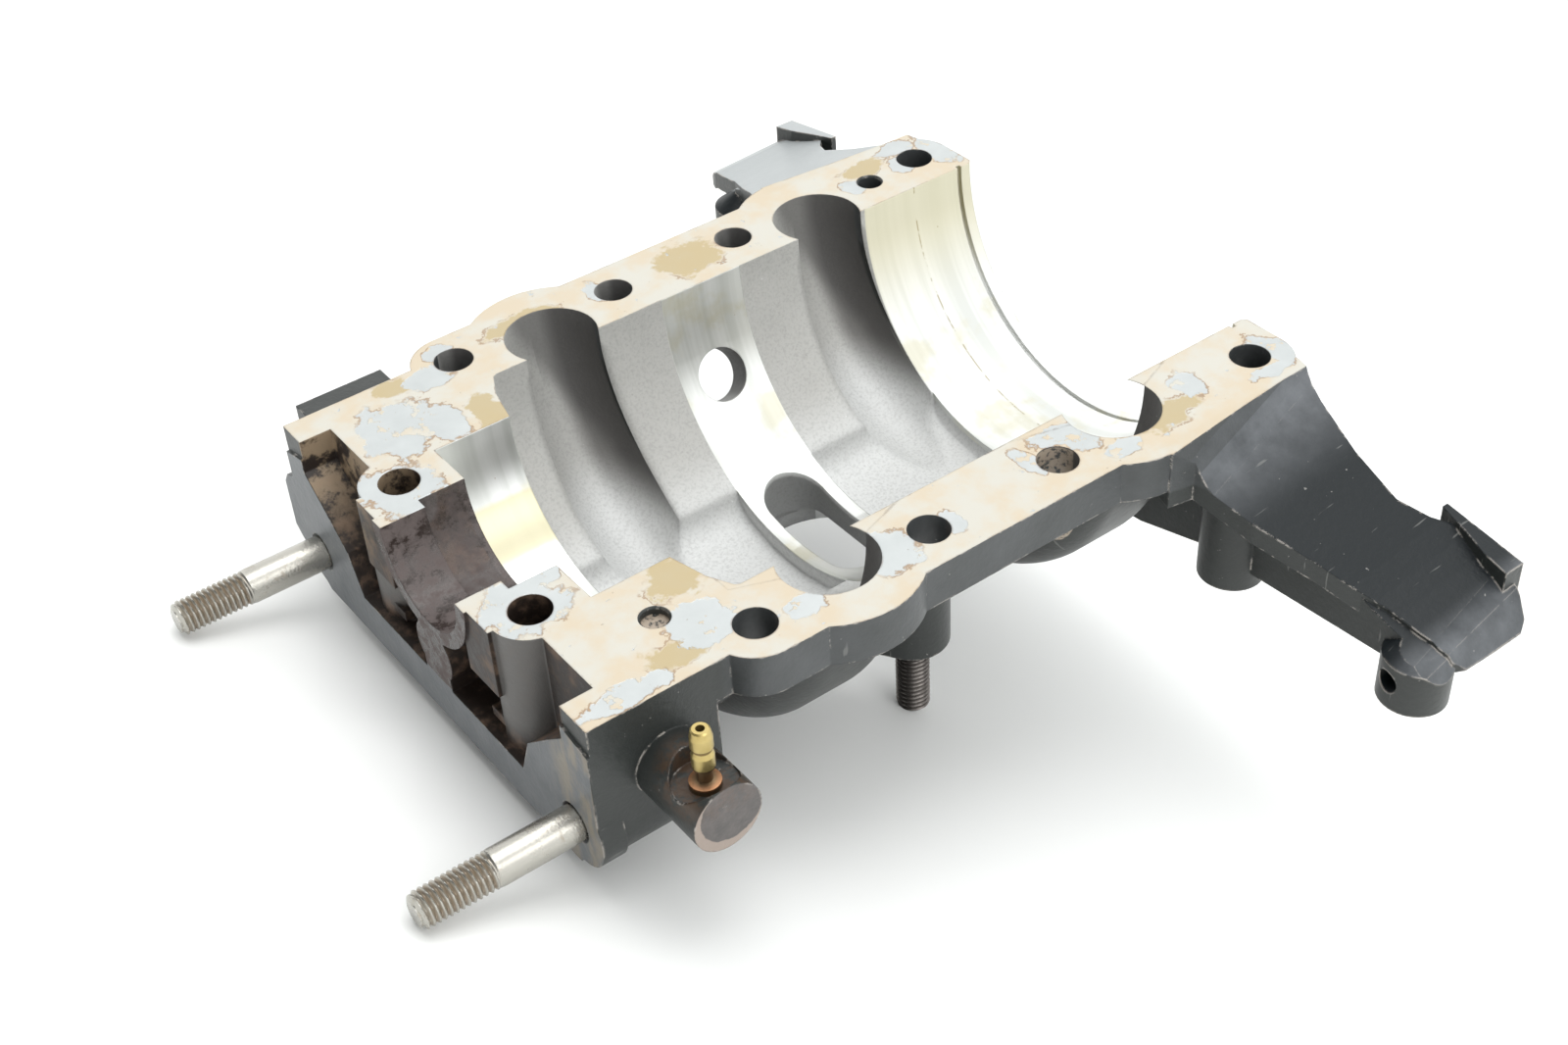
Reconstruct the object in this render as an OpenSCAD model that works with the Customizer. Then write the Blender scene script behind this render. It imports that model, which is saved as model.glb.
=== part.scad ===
// Crankcase half of a two-cylinder two-stroke outboard engine, as one casting with its
// two long base studs, its two intake studs and its bleed nipple.
// Origin: on the crank axis, in the joint face, at the middle of the centre main seat.
// +X runs along the crank to the upper end, +Y to the far rail, +Z up out of the joint face.

/* [Main bores] */
// Radius of the centre and upper main bearing seats
seat_r = 46; // [44:0.5:47]
// Half of the centre seat's width along the crank
centre_half = 11; // [9:0.5:12]
// Radius of the lower main bearing seat
lower_seat_r = 30.5; // [28:0.5:33]
// Length of the lower main bearing seat
lower_seat_len = 18.5; // [14:0.5:19]
// Radius of the shaft seal's bore
seal_r = 18; // [17:0.5:22]
// Length of the shaft seal's bore
seal_len = 11; // [8:0.5:12]
// Radius of the shaft's bore in the lower end wall
shaft_r = 15; // [12:0.5:16]
// Depth of the snap ring groove in the upper seat
ring_groove = 1; // [0.5:0.1:1.5]

/* [Crank chambers] */
// Distance from the centre seat to the middle of each crank chamber
chamber_x = 38; // [37:0.5:40]
// Radius of the chamber floor, below the seats
floor_r = 50; // [48.5:0.5:50.5]
// Round section radius of the transfer channel at the side of each chamber
channel_r = 10.7; // [9:0.1:11.5]
// Offset of each transfer channel's sweep axis from the crank axis
channel_offset = 11.5; // [10:0.5:12.5]
// Radius of the transfer channel's sweep
channel_sweep = 39.5; // [38:0.5:40.5]
// Angle below the far joint face at which the lands end
land_angle = 72; // [66:1:74]
// Thickness of the cast walls round the chambers
wall = 2.8; // [2.5:0.1:4]

/* [Joint rail] */
// Thickness of the bolting rail
rail_t = 10; // [8:0.5:14]
// Half of the rail's overall width
rail_half_w = 66.8; // [65:0.2:69]
// Distance across each pair of bolt holes
bolt_span = 114; // [112:0.5:116]
// Radius of the bolt holes
bolt_hole_r = 4.5; // [3.3:0.1:5]
// Distance of the inner bolt holes from the centre seat's middle
inner_bolt_x = 17.2; // [16:0.2:18]
// Place of the lower outer pair of bolt holes
lower_bolt_x = -60; // [-61:0.5:-59]
// Place of the upper outer pair of bolt holes
upper_bolt_x = 73.5; // [72:0.5:75]
// Distance across the pair of bolt holes beside the seal
end_bolt_span = 52; // [51:0.5:54]
// Place of the pair of bolt holes beside the seal
end_bolt_x = -91; // [-91.5:0.5:-90]
// Radius of the two dowel holes
dowel_hole_r = 2.9; // [2.5:0.1:4]

/* [Ends] */
// Distance from the centre to the lower end face
lower_end = 101.5; // [101:0.5:104]
// Distance from the centre to the upper end face
upper_end = 83.3; // [82.5:0.5:86]
// Depth of the lower end block below the joint face
block_depth = 32.5; // [31:0.5:36]
// Half of the lower end block's width
block_half_w = 61; // [59:0.5:62]
// Depth of the recess in the lower end face
recess_depth = 8; // [5:0.5:9]

/* [Intake] */
// Distance from the joint face to the intake flange's face
intake_depth = 57.5; // [56:0.5:66]
// Radius of the intake's round bore
intake_r = 19; // [15:0.5:20]
// Half of the distance between the intake studs
intake_stud_y = 30; // [28:0.1:32]
// Radius of the intake stud bosses
intake_boss_r = 8.7; // [8:0.1:11]
// Half of the slot's width through the centre seat
slot_half_w = 7.7; // [5:0.1:8]

/* [Studs] */
// Radius of the base and intake studs
stud_r = 4; // [3:0.5:5]
// Half of the distance between the base studs
base_stud_y = 52.3; // [51:0.1:53]
// Depth of the base studs below the joint face
base_stud_depth = 30.4; // [29:0.1:31.5]
// Length of base stud that stands out of the end face
base_stud_out = 35.5; // [25:0.5:45]
// Length of intake stud that stands out of the flange
intake_stud_out = 21.5; // [12:0.5:25]
// Depth of each stud in its tapped hole
stud_engage = 16; // [10:0.5:18]
// Radial clearance between a stud and its hole
stud_fit = 0.04; // [0.02:0.01:0.1]

/* [Arms] */
// Distance from the crank axis to the outer end of each arm
arm_reach = 130.5; // [126:0.5:134]
// Thickness of each arm's top plate
arm_plate = 5; // [4:0.5:7]
// Slope of the arm's top, as fall over run
arm_slope = 0.456; // [0.4:0.01:0.5]
// Depth of the arm bosses' faces below the joint face
arm_boss_depth = 42; // [40:0.5:46]
// Radius of the arm bosses
arm_boss_r = 7.5; // [6.5:0.1:8]
// Radius of the tapped holes in the arm bosses
arm_hole_r = 3.4; // [2.5:0.1:4]

/* [Bleed fitting] */
// Radius of the boss that carries the bleed nipple
bleed_boss_r = 7.6; // [7:0.1:9]
// Length of the bleed boss out of the block's side
bleed_boss_len = 19; // [16:0.5:22]
// Height of the nipple above its spot face
nipple_h = 14.5; // [12:0.5:18]
// Largest radius of the nipple's barbs
barb_r = 2.25; // [1.9:0.05:2.8]

/* [Hidden] */
$fn = 96;
far_away = 400;
cut = 1;

// Stations along the crank, from the lower end
shaft_end_x = -lower_end + 10.5;
seal_end_x = shaft_end_x + seal_len;
seat_end_x = seal_end_x + lower_seat_len;
chamber_start_x = seat_end_x + 5;
upper_seat_x = chamber_x + channel_r + 0.3;
groove_x = upper_end - 4.9;
groove_w = 1.2;
end_chamfer = 1;

// Wall radii outside the bores
outer_r = floor_r + wall;
upper_wall_r = seat_r + 7;
lower_wall_r = lower_seat_r + 8;
centre_relief = 2;

// Stud ends in the casting: thinner than the shank, and short of the seat at the intake
tap_end_r = stud_r - 0.3;
tap_mouth_r = stud_r + 0.6;
intake_engage = min(
    stud_engage, intake_depth - 2 - sqrt(pow(seat_r, 2) - pow(intake_stud_y - stud_r, 2))
);

// Rail
bolt_pad_r = rail_half_w - bolt_span / 2;
bulge_r = channel_r + 9.1;
channel_y = channel_offset + channel_sweep;
block_inner_x = -72.5;
block_far_w = 59.8;
block_setback = 0.6;
foot_t = 5.5;
foot_far_w = 65.3;
foot_lobe_r = 9.8;
foot_depth = 41.5;
recess_half_w = 52;

// Dowel holes as [x, y, depth], the lower one nearly filled
dowel_holes = [[58, 55.5, 7], [-73.8, -43.3, 2]];

// Arm: edge points run outward along the lower side, then back along the upper side
arm_root_x = 36;
arm_bend_x = 57;
arm_bend_y = arm_reach - 16.7;
arm_fall = arm_slope * (arm_reach - rail_half_w);
arm_tip_x = 58.6;
arm_edge_x = 83.2;
arm_tip_depth = arm_fall + 4.753;
arm_waist_x = 76.2;
arm_waist_y = arm_reach - 38.5;
arm_side_slope = 0.134;
arm_tip_slope = 0.18;
arm_root_slope = 2.5;
arm_boss_x = 57;
inner_boss_y = 71.9;
near_boss_y = arm_reach - 7.7;
far_boss_y = arm_reach - 19.5;
outer_boss_top = arm_fall + 1.953;
arm_rib_x = 55;
arm_rib_t = 4.5;
lug_len = 20.2;
lug_t = 5.4;
lug_z = 10.947 - arm_fall;

// Bleed boss
bleed_x = -84.3;
bleed_z = -17.8;
bleed_seat_z = -14.5;
nipple_y = -(block_half_w + 12.2);
spot_r = 6.6;

// Turns a profile of [radius, place along the crank] about the crank axis
module about_crank() {
    rotate([0, 90, 0]) rotate_extrude($fn = 180) children();
}

// Everything below a plane that rises by slope_y along Y and by slope_x along X
module below_plane(p, slope_y, slope_x) {
    lean = atan(slope_y);
    translate(p)
        rotate([lean, 0, 0])
            rotate([0, -atan(slope_x * cos(lean)), 0])
                translate([-far_away, -far_away, -2 * far_away])
                    cube(2 * far_away);
}

// Everything below the joint face
module below_joint() {
    translate([-far_away, -far_away, -2 * far_away]) cube(2 * far_away);
}

// Copies its children to the near and far sides
module both_sides() {
    children();
    mirror([0, 1, 0]) children();
}

// Sector of the chambers below the joint face, from one angle to another, far side first
module sector(from, to) {
    steps = 6;
    reach = 1.5 * outer_r;
    points = [for (i = [0:steps])
        let (a = from + (to - from) * i / steps) [reach * cos(a), -reach * sin(a)]];
    rotate([90, 0, 90])
        linear_extrude(2 * far_away, center = true)
            polygon(concat([[0, 0]], points));
}

// Outline of the joint rail, seen from above
module rail_outline() {
    square_w = 2 * rail_half_w;
    translate([lower_bolt_x, -rail_half_w]) square([upper_bolt_x - lower_bolt_x, square_w]);
    for (side = [-1, 1]) {
        for (x = [lower_bolt_x, upper_bolt_x])
            translate([x, side * bolt_span / 2]) circle(bolt_pad_r);
        for (x = [-chamber_x, chamber_x])
            translate([x, side * channel_y]) circle(bulge_r);
    }
    translate([-lower_end + block_setback, -block_half_w])
        square([lower_end - block_setback + lower_bolt_x, block_half_w + block_far_w]);
    translate([0, -bolt_span / 2]) square([upper_end, bolt_span]);
}

// Bolting rail with its bulges round the transfer channels
module joint_rail() {
    translate([0, 0, -rail_t]) linear_extrude(rail_t) rail_outline();
    // Unmachined ledge beside the far rail's lower end
    translate([-95, block_far_w - cut, -rail_t])
        cube([21, rail_half_w - block_far_w, rail_t - 0.8]);
}

// Outside of the bores: end wall, lower seat, chambers and upper seat
module belly() {
    about_crank()
        polygon([
            [0, -lower_end], [shaft_r + 4, -lower_end], [seal_r + 5, shaft_end_x],
            [lower_wall_r, seal_end_x - 3], [lower_wall_r, seat_end_x - 3],
            [outer_r - 1, chamber_start_x - 6], [outer_r, chamber_start_x - 4],
            [outer_r, upper_seat_x + 1], [upper_wall_r, upper_seat_x + 6],
            [upper_wall_r, upper_end - 2], [upper_wall_r - 2, upper_end],
            [0, upper_end]
        ]);
}

// Outside of one pair of transfer channels, swept about its own offset axis
module channel_belly() {
    corner = channel_r + 1.3;
    spread = 5.5;
    for (x = [-chamber_x - 3, chamber_x - 3])
        translate([0, channel_offset, 0])
            about_crank()
                union() {
                    for (d = [-spread, spread])
                        translate([channel_sweep + channel_r + wall - corner, x + d])
                            circle(corner);
                    translate([0, x - spread])
                        square([channel_sweep + channel_r + wall, 2 * spread]);
                    translate([0, x - spread - corner])
                        square([channel_sweep + channel_r + wall - corner, 2 * (spread + corner)]);
                }
}

// Round neck and oval flange of the intake, with a boss for each stud
module intake_neck() {
    neck_r = intake_r + 6;
    flange_t = 9;
    // Angle from the line of studs to the point where the flange's straight sides begin
    a = acos((neck_r - intake_boss_r) / intake_stud_y);
    // They start a little inside the round parts, so that they meet them at a clear angle
    inset = 0.1;
    side = (neck_r - inset) * [sin(a), cos(a)];
    tip = [0, intake_stud_y] + (intake_boss_r - inset) * [sin(a), cos(a)];
    translate([0, 0, -intake_depth]) cylinder(h = intake_depth - seat_r, r = neck_r);
    translate([0, 0, -intake_depth]) linear_extrude(flange_t) {
        circle(neck_r);
        for (k = [-1, 1]) translate([0, k * intake_stud_y]) circle(intake_boss_r);
        polygon([
            side, tip, [-tip[0], tip[1]], [-side[0], side[1]],
            [-side[0], -side[1]], [-tip[0], -tip[1]], [tip[0], -tip[1]], [side[0], -side[1]]
        ]);
    }
    both_sides()
        translate([0, intake_stud_y, -intake_depth])
            cylinder(h = intake_depth - seat_r * 0.8, r = intake_boss_r);
}

// Lower end block with the base flange, its ears and the stud columns
module lower_block() {
    translate([-lower_end + block_setback, -block_half_w, -block_depth])
        cube([lower_end - block_setback + block_inner_x, block_half_w + block_far_w, block_depth]);
    translate([-lower_end, 0, 0])
        rotate([90, 0, 90])
            linear_extrude(foot_t) {
                polygon([
                    [-block_half_w, -6.5], [-recess_half_w, -4.5], [recess_half_w, -4.5],
                    [block_far_w, -6.5], [block_far_w, -13.5], [foot_far_w - 2, -15],
                    [foot_far_w, -18], [foot_far_w, -base_stud_depth],
                    [base_stud_y, -foot_depth], [-base_stud_y, -foot_depth],
                    [-block_half_w, -base_stud_depth]
                ]);
                for (k = [-1, 1]) translate([k * base_stud_y, -base_stud_depth]) circle(foot_lobe_r);
            }
    both_sides()
        translate([-lower_end, base_stud_y, -base_stud_depth])
            rotate([0, 90, 0]) cylinder(h = stud_engage + 6, r = stud_r + 5);
}

// Recess in the lower end face, round the seal ring and its post
module end_recess() {
    column_r = bolt_hole_r + 4.2;
    translate([-lower_end, 0, 0]) difference() {
        translate([-cut, 0, 0])
            rotate([90, 0, 90])
                linear_extrude(recess_depth + cut)
                    polygon([
                        [-recess_half_w, cut], [-recess_half_w, -8], [-46, -13], [-37, -21], [-33, -31],
                        [33, -31], [37, -21], [46, -13], [recess_half_w, -8], [recess_half_w, cut]
                    ]);
        // Seal ring and the hourglass post below it
        translate([-2 * cut, 0, 0])
            rotate([0, 90, 0]) cylinder(h = recess_depth + 4 * cut, r = shaft_r + 3.5);
        translate([-2 * cut, 0, -23])
            rotate([0, 90, 0]) cylinder(h = recess_depth + 4 * cut, r = 7);
        translate([-2 * cut, -5.2, -33]) cube([recess_depth + 4 * cut, 10.4, 18]);
        both_sides() {
            // Column round each bolt hole, joined to the ring at the joint face
            translate([lower_end + end_bolt_x, end_bolt_span / 2, -block_depth])
                cylinder(h = block_depth, r = column_r);
            translate([0.6, shaft_r + 0.5, -17])
                cube([recess_depth, end_bolt_span / 2 - shaft_r, 17]);
            // Small shelf low in the recess
            translate([2.5, end_bolt_span / 2 - 8, -29])
                cube([recess_depth, 8, 2.4]);
        }
    }
}

// Pockets that keep the walls even on the block's underside
module block_pockets() {
    both_sides()
        translate([-lower_end + recess_depth + 5, lower_wall_r + 3, -block_depth - cut])
            cube([12, block_half_w - lower_wall_r - 9, block_depth - rail_t - 6 + cut]);
}

// Boss on the near side of the block, with a spot face for the nipple
module bleed_boss() {
    difference() {
        translate([bleed_x, -block_half_w + cut, bleed_z])
            rotate([90, 0, 0]) cylinder(h = bleed_boss_len + cut, r = bleed_boss_r);
        translate([bleed_x, nipple_y, bleed_seat_z]) cylinder(h = 20, r = spot_r);
    }
}

// Outline of the far arm, seen from above
module arm_outline() {
    polygon([
        [arm_root_x, seat_r + 2], [arm_root_x, 71], [41.8, 72.3], [45.9, arm_reach - 44.6],
        [51.4, arm_reach - 31.8],
        [arm_bend_x, arm_bend_y], [arm_tip_x, arm_reach - 4.5], [arm_tip_x + 1.2, arm_reach - 1.5],
        [arm_tip_x + 4, arm_reach], [arm_edge_x - 4, arm_reach + 0.4],
        [arm_edge_x - 1, arm_reach - 1.2], [arm_edge_x, arm_reach - 4],
        [arm_edge_x, arm_reach - 21.5], [79.5, arm_reach - 26],
        [arm_waist_x, arm_reach - 32.5], [arm_waist_x, arm_waist_y - 6],
        [78, 74], [80.5, rail_half_w - 2], [arm_edge_x - 1, seat_r + 2]
    ]);
}

// Planes that soften the hollow where two planes meet at p; slopes are given as [y, x]
module soften_hollow(p, from, to, lift) {
    for (t = [0.25, 0.5, 0.75]) {
        slope = from + t * (to - from);
        below_plane(p + [0, 0, 4 * lift * t * (1 - t)], slope[0], slope[1]);
    }
}

// Everything below the arm's top, lowered by drop: a slope with a shallower, rounded end
module below_arm_top(drop) {
    main = [-arm_slope, arm_side_slope];
    tip = [-arm_tip_slope, arm_side_slope];
    bend = [80, arm_bend_y, -1 - arm_slope * (arm_bend_y - rail_half_w + 0.8) - drop];
    intersection() {
        union() {
            below_plane(bend, main[0], main[1]);
            below_plane(bend, tip[0], tip[1]);
            soften_hollow(bend, main, tip, 0.7);
        }
        below_plane([arm_tip_x, arm_reach - 5.2, 1.047 - arm_fall - drop], -0.55, 0.076);
        below_plane([arm_tip_x, arm_reach - 2.5, -0.453 - arm_fall - drop], -1.5, -0.02);
    }
}

// One arm: sloping plate, root blend, ribs, two bosses and the lug at its outer end
module arm(outer_boss_y) {
    plate_depth = arm_fall + 16.953;
    root = [-arm_root_slope, -0.25];
    main = [-arm_slope, arm_side_slope];
    difference() {
        intersection() {
            translate([0, 0, -plate_depth]) linear_extrude(plate_depth) arm_outline();
            union() {
                below_arm_top(0);
                below_plane([arm_root_x, 71, 0], root[0], root[1]);
                soften_hollow([arm_root_x, 75.5, -11.2], root, main, 1.8);
            }
        }
        intersection() {
            union() {
                below_arm_top(arm_plate);
                below_plane([0, 0, -arm_tip_depth], 0, 0);
            }
            translate([0, rail_half_w, -far_away]) cube([far_away, far_away, far_away]);
        }
        translate([0, 0, -far_away]) cube([far_away, rail_half_w + cut, far_away - rail_t]);
    }
    intersection() {
        union() {
            // Rib from the belly past both bosses, and a lower one along the upper edge
            translate([arm_rib_x, 0, 0])
                rotate([90, 0, 90])
                    linear_extrude(arm_rib_t)
                        polygon([
                            [seat_r - 6, -rail_t], [seat_r - 6, -arm_boss_depth - 2],
                            [seat_r, -arm_boss_depth - 1.4], [64.3, -arm_boss_depth + 3.6],
                            [outer_boss_y, -arm_boss_depth + 7], [outer_boss_y, -rail_t]
                        ]);
            translate([arm_waist_x - 4.5, 0, 0])
                rotate([90, 0, 90])
                    linear_extrude(4.5)
                        polygon([
                            [seat_r, -rail_t], [seat_r, -arm_boss_depth + 8],
                            [outer_boss_y, -arm_boss_depth + 7], [outer_boss_y, -rail_t]
                        ]);
            translate([arm_boss_x, inner_boss_y, -arm_boss_depth])
                cylinder(h = arm_boss_depth, r = arm_boss_r);
            translate([arm_boss_x, outer_boss_y, -arm_boss_depth])
                cylinder(h = arm_boss_depth - outer_boss_top, r = arm_boss_r);
            translate([arm_boss_x, outer_boss_y, -outer_boss_top])
                cylinder(h = 5, r1 = arm_boss_r, r2 = 1);
        }
        below_arm_top(1);
    }
    // Wedge-shaped lug along the upper edge, with a shallower top than the arm
    intersection() {
        translate([arm_edge_x + 1.7, arm_reach - 26, lug_z - 13.9])
            linear_extrude(20)
                polygon([
                    [0, 0], [0, lug_len], [-lug_t, lug_len],
                    [-lug_t + 0.6, lug_len * 0.7], [-lug_t * 0.55, lug_len * 0.35], [-1.5, 0]
                ]);
        below_plane([arm_edge_x, arm_reach - 24.5, lug_z], -0.165, 0);
    }
}

// Tapped holes of one arm's bosses, with the small cross hole of the outer one
module arm_holes(outer_boss_y) {
    for (y = [inner_boss_y, outer_boss_y])
        translate([arm_boss_x, y, -arm_boss_depth - cut]) cylinder(h = 12 + cut, r = arm_hole_r);
    translate([arm_boss_x - arm_boss_r - 3, outer_boss_y - 1.5, 6.5 - arm_boss_depth])
        rotate([0, 90, 0]) cylinder(h = 10, r = 2.6);
}

// Bores, seats and chambers turned about the crank axis
module crank_bores() {
    about_crank()
        polygon([
            [0, -lower_end - cut], [shaft_r, -lower_end - cut], [shaft_r, shaft_end_x],
            [seal_r, shaft_end_x], [seal_r, seal_end_x], [lower_seat_r, seal_end_x],
            [lower_seat_r, seat_end_x], [lower_seat_r + 9.3, seat_end_x + 2.2],
            [seat_r - 0.5, chamber_start_x], [seat_r, chamber_start_x + 1], [seat_r, groove_x],
            [seat_r + ring_groove, groove_x], [seat_r + ring_groove, groove_x + groove_w],
            [seat_r, groove_x + groove_w], [seat_r, upper_end - end_chamfer],
            [seat_r + end_chamfer + cut, upper_end + cut], [0, upper_end + cut]
        ]);
}

// Transfer channels: round grooves swept about their own axes, deepest at the joint face
module transfer_channels() {
    both_sides()
        translate([0, channel_offset, 0])
            about_crank()
                for (x = [-chamber_x, chamber_x])
                    translate([channel_sweep, x]) circle(channel_r, $fn = 64);
}

// Chamber floors below the seats, on the far side from where the lands end
module chamber_floors() {
    blend_r = 8;
    rest_r = floor_r - blend_r;
    intersection() {
        about_crank() {
            polygon([
                [seat_r - 8, seat_end_x + 2], [lower_seat_r + 9.3, seat_end_x + 2.2],
                [floor_r, chamber_start_x - 1], [floor_r, -centre_half], [seat_r - 8, -centre_half]
            ]);
            polygon([
                [seat_r - 8, centre_half], [floor_r, centre_half],
                [floor_r, upper_seat_x - 1], [floor_r - 2, upper_seat_x], [seat_r - 8, upper_seat_x]
            ]);
        }
        union() {
            sector(land_angle, 180 - land_angle);
            // Round end of the floor, which runs out into the land
            for (a = [land_angle, 180 - land_angle])
                translate([-far_away, rest_r * cos(a), -rest_r * sin(a)])
                    rotate([0, 90, 0]) cylinder(h = 2 * far_away, r = blend_r);
        }
    }
    // Near side: the floor flares out of the seats into the channels
    intersection() {
        about_crank() {
            polygon([
                [seat_r - 8, chamber_start_x - 2], [seat_r, chamber_start_x - 2],
                [floor_r, -chamber_x - channel_r], [floor_r, -chamber_x + channel_r - 1],
                [seat_r, -centre_half - centre_relief - 3], [seat_r - 8, -centre_half - 5]
            ]);
            polygon([
                [seat_r - 8, centre_half + centre_relief], [seat_r, centre_half + centre_relief],
                [floor_r, chamber_x - channel_r], [floor_r, chamber_x + channel_r],
                [seat_r, upper_seat_x + 10], [seat_r - 8, upper_seat_x + 10]
            ]);
        }
        sector(180 - land_angle, 179.9);
    }
}

// Slot through the centre seat, and the intake's round bore below it
module intake_passage() {
    slot_reach = 20;
    bore_top = floor_r + wall;
    translate([0, 0, -bore_top - cut]) linear_extrude(bore_top - seat_r * 0.5) {
        for (k = [-1, 1]) translate([0, k * (slot_reach - slot_half_w)]) circle(slot_half_w);
        square([2 * slot_half_w, 2 * (slot_reach - slot_half_w)], center = true);
    }
    translate([0, 0, -intake_depth - cut])
        cylinder(h = intake_depth - bore_top + cut, r = intake_r);
}

// Bolt holes through the rail and beside the seal
module bolt_holes() {
    for (x = [lower_bolt_x, -inner_bolt_x, inner_bolt_x, upper_bolt_x], k = [-1, 1])
        translate([x, k * bolt_span / 2, -rail_t - 8]) cylinder(h = rail_t + 9, r = bolt_hole_r);
    for (k = [-1, 1])
        translate([end_bolt_x, k * end_bolt_span / 2, -block_depth - cut])
            cylinder(h = block_depth + 2 * cut, r = bolt_hole_r);
}

// Blind holes for the dowels and the studs
module small_holes() {
    for (p = dowel_holes) {
        translate([p[0], p[1], -p[2]]) cylinder(h = p[2] + cut, r = dowel_hole_r);
        translate([p[0], p[1], -0.4]) cylinder(h = 0.8, r1 = dowel_hole_r, r2 = dowel_hole_r + 0.8);
    }
    both_sides() {
        translate([-lower_end, base_stud_y, -base_stud_depth])
            rotate([0, 90, 0]) tapped_hole(stud_engage);
        translate([0, intake_stud_y, -intake_depth]) tapped_hole(intake_engage);
    }
}

// Hole for a stud's tapped end, with a chamfered mouth
module tapped_hole(depth) {
    hole_r = tap_end_r + stud_fit;
    mouth = tap_mouth_r - hole_r;
    translate([0, 0, -cut]) cylinder(h = depth + cut, r = hole_r);
    translate([0, 0, -mouth]) cylinder(h = 2 * mouth, r1 = tap_mouth_r + mouth, r2 = hole_r);
}

// Round port through the centre seat's far wall
module seat_port() {
    port_r = 6.5;
    below_joint_angle = 29.8;
    rotate([-90 - below_joint_angle, 0, 0])
        translate([0, 0, seat_r / 2]) cylinder(h = seat_r, r = port_r);
}

// The crankcase half itself: one aluminium casting
module crankcase_casting() {
    color("dimgray")
        difference() {
            intersection() {
                union() {
                    joint_rail();
                    belly();
                    both_sides() channel_belly();
                    intake_neck();
                    lower_block();
                    bleed_boss();
                    arm(far_boss_y);
                    mirror([0, 1, 0]) arm(near_boss_y);
                }
                below_joint();
            }
            crank_bores();
            transfer_channels();
            chamber_floors();
            intake_passage();
            bolt_holes();
            small_holes();
            seat_port();
            end_recess();
            block_pockets();
            arm_holes(far_boss_y);
            mirror([0, 1, 0]) arm_holes(near_boss_y);
        }
}

// Long stud that bolts the crankcase to the engine's base
module base_stud() {
    tip = 1.2;
    translate([-lower_end, base_stud_y, -base_stud_depth])
        rotate([0, -90, 0]) {
            translate([0, 0, -stud_engage]) cylinder(h = stud_engage + cut, r = tap_end_r);
            cylinder(h = base_stud_out - tip, r = stud_r);
            translate([0, 0, base_stud_out - tip])
                cylinder(h = tip, r1 = stud_r, r2 = stud_r - tip);
        }
}

module base_stud_near() {
    color("silver") mirror([0, 1, 0]) base_stud();
}

module base_stud_far() {
    color("silver") base_stud();
}

// Stud that holds the carburettor on the intake flange
module intake_stud() {
    tip = 1;
    translate([0, intake_stud_y, -intake_depth - intake_stud_out]) {
        translate([0, 0, tip]) cylinder(h = intake_stud_out - tip, r = stud_r);
        cylinder(h = tip, r1 = stud_r - tip, r2 = stud_r);
        translate([0, 0, intake_stud_out - cut]) cylinder(h = intake_engage + cut, r = tap_end_r);
    }
}

module intake_stud_near() {
    color("dimgray") mirror([0, 1, 0]) intake_stud();
}

module intake_stud_far() {
    color("dimgray") intake_stud();
}

// Brass nipple with two barbs and a bleed hole, pressed in the spot face
module bleed_nipple() {
    flange_h = 1.4;
    barb_h = (nipple_h - flange_h) * 0.36;
    stem_r = barb_r * 0.68;
    bleed_hole_r = 0.9;
    color("goldenrod")
        translate([bleed_x, nipple_y, bleed_seat_z])
            rotate_extrude($fn = 48)
                polygon([
                    [bleed_hole_r, 0], [stem_r + 1.6, 0], [stem_r + 1.6, flange_h],
                    [stem_r, flange_h + 0.4], [stem_r, nipple_h - 2 * barb_h - 0.3],
                    [barb_r, nipple_h - 2 * barb_h], [barb_r, nipple_h - 1.35 * barb_h],
                    [barb_r - 0.45, nipple_h - 1.03 * barb_h], [barb_r, nipple_h - 0.95 * barb_h],
                    [barb_r, nipple_h - 0.4 * barb_h], [barb_r - 0.35, nipple_h - 0.3],
                    [barb_r - 0.65, nipple_h], [bleed_hole_r, nipple_h]
                ]);
}

crankcase_casting();
base_stud_near();
base_stud_far();
intake_stud_near();
intake_stud_far();
bleed_nipple();
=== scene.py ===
"""Looks, threads, light and camera for the crankcase half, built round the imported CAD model."""

import math

import bpy
from mathutils import Matrix, Vector


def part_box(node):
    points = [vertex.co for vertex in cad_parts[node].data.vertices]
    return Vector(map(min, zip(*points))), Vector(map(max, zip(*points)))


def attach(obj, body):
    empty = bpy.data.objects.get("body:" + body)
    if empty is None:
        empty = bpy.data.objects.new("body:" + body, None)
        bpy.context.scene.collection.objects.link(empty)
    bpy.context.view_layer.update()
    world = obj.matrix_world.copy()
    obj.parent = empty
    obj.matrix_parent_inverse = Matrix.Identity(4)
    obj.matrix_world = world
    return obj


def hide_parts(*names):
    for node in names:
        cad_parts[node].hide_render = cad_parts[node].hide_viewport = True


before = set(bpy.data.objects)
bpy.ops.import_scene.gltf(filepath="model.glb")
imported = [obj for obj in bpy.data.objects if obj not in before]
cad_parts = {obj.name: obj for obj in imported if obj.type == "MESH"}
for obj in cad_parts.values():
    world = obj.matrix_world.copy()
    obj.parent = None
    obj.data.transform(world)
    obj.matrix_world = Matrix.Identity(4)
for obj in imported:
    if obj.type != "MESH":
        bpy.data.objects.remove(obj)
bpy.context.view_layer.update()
scene = bpy.context.scene
MM = 0.001

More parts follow.
